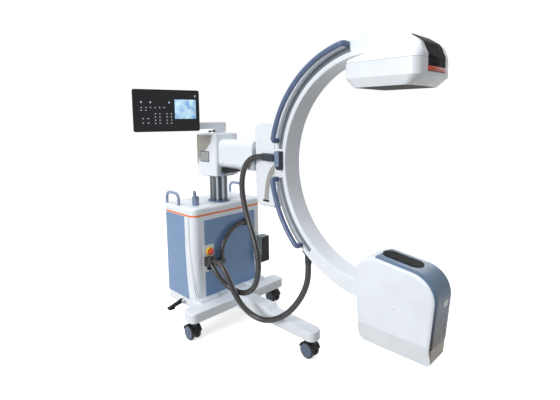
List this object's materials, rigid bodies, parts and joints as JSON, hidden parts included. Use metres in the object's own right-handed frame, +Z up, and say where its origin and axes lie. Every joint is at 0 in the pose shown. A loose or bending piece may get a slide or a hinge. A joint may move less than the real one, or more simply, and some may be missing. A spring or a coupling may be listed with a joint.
{
  "type": "mobile c-arm x-ray",
  "caption": "Mobile C-arm X-ray unit: castor base with cabinet, lifting column, sliding cross arm, orbiting C with detector above and tube housing below, and a monitor.",
  "frame": {"origin": "on the floor under the axis of the lifting column", "axes": "+Z up, +X from the column towards the C and its open side, +Y to the far side, away from the hoses and the monitor"},
  "size_m": [1.9641, 1.0392, 1.8589],
  "materials": {
    "white_casing": "satin",
    "white_metal": "satin powder coat",
    "blue_plastic": "satin",
    "blue_metal": "satin",
    "orange_trim": "satin",
    "black_plastic": "satin",
    "black_rubber": "matte",
    "anodised": "satin anodised",
    "white_aluminium": "powder coated",
    "steel": "satin",
    "inner_metal": "matte",
    "yellow_plastic": "gloss",
    "red_plastic": "gloss",
    "grey_plastic": "matte",
    "wheel": "matte",
    "screen_glass": "gloss"
  },
  "bodies": {
    "stand": {"chassis": "white_metal", "front_leg": "white_metal", "base_cover": "white_casing", "cabinet_shell": "white_casing", "body_panels": "blue_plastic", "front_panel": "blue_plastic", "service_plate": "white_casing", "accent_stripe": "orange_trim", "top_cover": "white_casing", "stop_collar": "yellow_plastic", "mains_inlet": "black_plastic", "outer_column": "anodised", "lift_actuator": "steel", "column_flange": "blue_plastic", "generator_unit": "inner_metal", "push_handles": "blue_metal", "switch_holder": "blue_plastic", "foot_switch_bracket": "white_metal", "hose_glands": "black_rubber", "hose_arm": "black_rubber", "hose_tube": "black_rubber", "hose_loop": "black_rubber"},
    "mast": {"inner_column": "anodised"},
    "head": {"head_shell": "white_casing", "lever_base": "blue_plastic"},
    "lock_lever": {"arm_lock_lever": "black_plastic"},
    "cross_arm": {"arm_housing": "white_aluminium"},
    "carriage": {"arm_shaft": "steel", "carriage_shell": "white_casing", "carriage_rollers": "steel"},
    "c_arm": {"c_profile": "white_aluminium", "grab_handles": "blue_metal", "cable_plate": "blue_plastic", "cable_boots": "black_rubber", "tube_housing": "white_casing", "tube_band": "blue_plastic", "tube_lid": "black_plastic", "xray_tube": "steel", "collimator": "inner_metal", "detector_housing": "white_casing", "detector_cover": "white_casing", "detector_strap": "black_plastic", "detector_window": "black_plastic"},
    "screen_bracket": {"monitor_bracket": "white_metal"},
    "screen": {"monitor_casing": "black_plastic", "monitor_glass": "screen_glass"},
    "stop_button": {"stop_button": "red_plastic"},
    "brake_pedal": {"brake_pedal": "black_plastic"},
    "foot_switch": {"foot_switch": "grey_plastic"},
    "foot_switch_pedal": {"foot_switch_pedal": "black_plastic"},
    "hand_switch": {"hand_switch": "grey_plastic"},
    "hand_switch_button": {"hand_switch_button": "black_plastic"},
    "castor_fork_1": {"castor_fork_1": "black_plastic"},
    "castor_wheels_1": {"castor_wheels_1": "wheel"},
    "castor_fork_2": {"castor_fork_2": "black_plastic"},
    "castor_wheels_2": {"castor_wheels_2": "wheel"},
    "castor_fork_3": {"castor_fork_3": "black_plastic"},
    "castor_wheels_3": {"castor_wheels_3": "wheel"},
    "castor_fork_4": {"castor_fork_4": "black_plastic"},
    "castor_wheels_4": {"castor_wheels_4": "wheel"}
  },
  "joints": [
    {"name": "castor_1_swivel", "type": "hinge", "parent": "stand", "child": "castor_fork_1", "pos_m": [0.193, 0.371, 0.126], "axis": [0, 0, 1], "continuous": true},
    {"name": "castor_1_roll", "type": "hinge", "parent": "castor_fork_1", "child": "castor_wheels_1", "pos_m": [0.173, 0.371, 0.05], "axis": [0, 1, 0], "continuous": true},
    {"name": "castor_2_swivel", "type": "hinge", "parent": "stand", "child": "castor_fork_2", "pos_m": [0.193, -0.371, 0.126], "axis": [0, 0, 1], "continuous": true},
    {"name": "castor_2_roll", "type": "hinge", "parent": "castor_fork_2", "child": "castor_wheels_2", "pos_m": [0.173, -0.371, 0.05], "axis": [0, 1, 0], "continuous": true},
    {"name": "castor_3_swivel", "type": "hinge", "parent": "stand", "child": "castor_fork_3", "pos_m": [0.9, 0, 0.126], "axis": [0, 0, 1], "continuous": true},
    {"name": "castor_3_roll", "type": "hinge", "parent": "castor_fork_3", "child": "castor_wheels_3", "pos_m": [0.88, 0, 0.05], "axis": [0, 1, 0], "continuous": true},
    {"name": "castor_4_swivel", "type": "hinge", "parent": "stand", "child": "castor_fork_4", "pos_m": [-0.19, 0, 0.126], "axis": [0, 0, 1], "continuous": true},
    {"name": "castor_4_roll", "type": "hinge", "parent": "castor_fork_4", "child": "castor_wheels_4", "pos_m": [-0.21, 0, 0.05], "axis": [0, 1, 0], "continuous": true},
    {"name": "column_lift", "type": "slide", "parent": "stand", "child": "mast", "axis": [0, 0, 1], "range_m": [0, 0.4], "deforming": ["hose_arm", "hose_tube"]},
    {"name": "head_swivel", "type": "hinge", "parent": "mast", "child": "head", "pos_m": [0, 0, 1.06], "axis": [0, 0, 1], "range_deg": [-12.5, 12.5], "deforming": ["hose_arm", "hose_tube"]},
    {"name": "arm_lock", "type": "hinge", "parent": "head", "child": "lock_lever", "pos_m": [0.129, -0.045, 1.1], "axis": [0, 0, 1], "range_deg": [0, 30]},
    {"name": "arm_extend", "type": "slide", "parent": "head", "child": "cross_arm", "axis": [1, 0, 0], "range_m": [0, 0.18], "deforming": ["hose_arm", "hose_tube"]},
    {"name": "arm_rotation", "type": "hinge", "parent": "cross_arm", "child": "carriage", "pos_m": [0.469, 0, 1.216], "axis": [1, 0, 0], "range_deg": [-180, 180], "deforming": ["hose_arm", "hose_tube"]},
    {"name": "orbital", "type": "hinge", "parent": "carriage", "child": "c_arm", "pos_m": [1.326, 0, 1.189], "axis": [0, 1, 0], "range_deg": [-85, 22], "deforming": ["hose_arm", "hose_tube"]},
    {"name": "monitor_swivel", "type": "hinge", "parent": "head", "child": "screen_bracket", "pos_m": [-0.005, 0.03, 1.36], "axis": [0, 0, 1], "range_deg": [-120, 30]},
    {"name": "monitor_tilt", "type": "hinge", "parent": "screen_bracket", "child": "screen", "pos_m": [0.01705, -0.41098, 1.408], "axis": [0.2924, 0.9563, 0], "range_deg": [-20, 20]},
    {"name": "stop_press", "type": "slide", "parent": "stand", "child": "stop_button", "axis": [-1, 0, 0], "range_m": [0, 0.004], "stiffness_N_per_m": 1500},
    {"name": "brake_press", "type": "hinge", "parent": "stand", "child": "brake_pedal", "pos_m": [-0.035, -0.322, 0.18], "axis": [1, 0, 0], "range_deg": [0, 18], "stiffness_Nm_per_rad": 8, "springref_deg": -5.73},
    {"name": "foot_switch_lift", "type": "slide", "parent": "stand", "child": "foot_switch", "axis": [0, 0, 1], "range_m": [0, 0.08]},
    {"name": "foot_pedal_press", "type": "hinge", "parent": "foot_switch", "child": "foot_switch_pedal", "pos_m": [0.1853, 0.284, 0.547], "axis": [0, 1, 0], "range_deg": [0, 4], "stiffness_Nm_per_rad": 6},
    {"name": "hand_switch_lift", "type": "slide", "parent": "stand", "child": "hand_switch", "axis": [-0.1736, 0, 0.9848], "range_m": [0, 0.08]},
    {"name": "hand_switch_press", "type": "slide", "parent": "hand_switch", "child": "hand_switch_button", "axis": [0.1736, 0, -0.9848], "range_m": [0, 0.003], "stiffness_N_per_m": 300}
  ]
}
